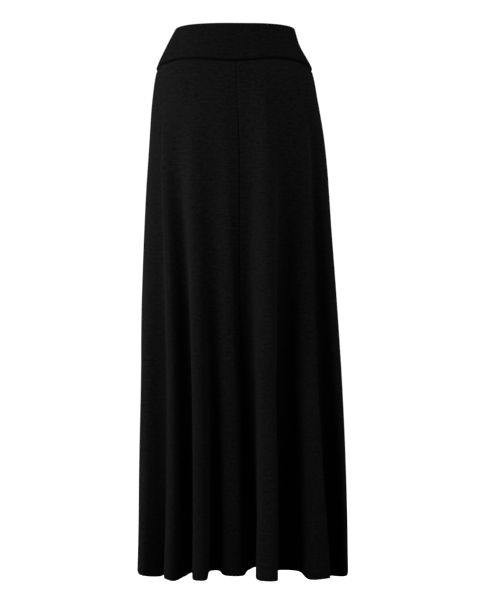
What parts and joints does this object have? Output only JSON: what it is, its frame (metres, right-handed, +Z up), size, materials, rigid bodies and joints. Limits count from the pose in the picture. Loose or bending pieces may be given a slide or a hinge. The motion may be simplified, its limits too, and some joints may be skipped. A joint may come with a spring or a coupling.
{
  "type": "maxi skirt",
  "caption": "Ankle-length flared jersey skirt with a wide fold-over waistband, worn open at the waist and the hem, hanging in soft deep folds.",
  "frame": {"origin": "middle of the waist opening, level with its edge, where the wearer holds the skirt up", "axes": "+Z up towards the wearer, -Y the front, +X the wearer's left"},
  "size_m": [0.403, 0.3116, 1.0369],
  "materials": {
    "jersey": "black knitted viscose jersey, soft and matt",
    "band_jersey": "black knitted viscose jersey, doubled and smooth"
  },
  "bodies": {
    "root": {"waistband_front": "band_jersey", "waistband_back": "band_jersey", "panel_front_right": "jersey", "panel_front_left": "jersey", "panel_back": "jersey"}
  },
  "joints": []
}
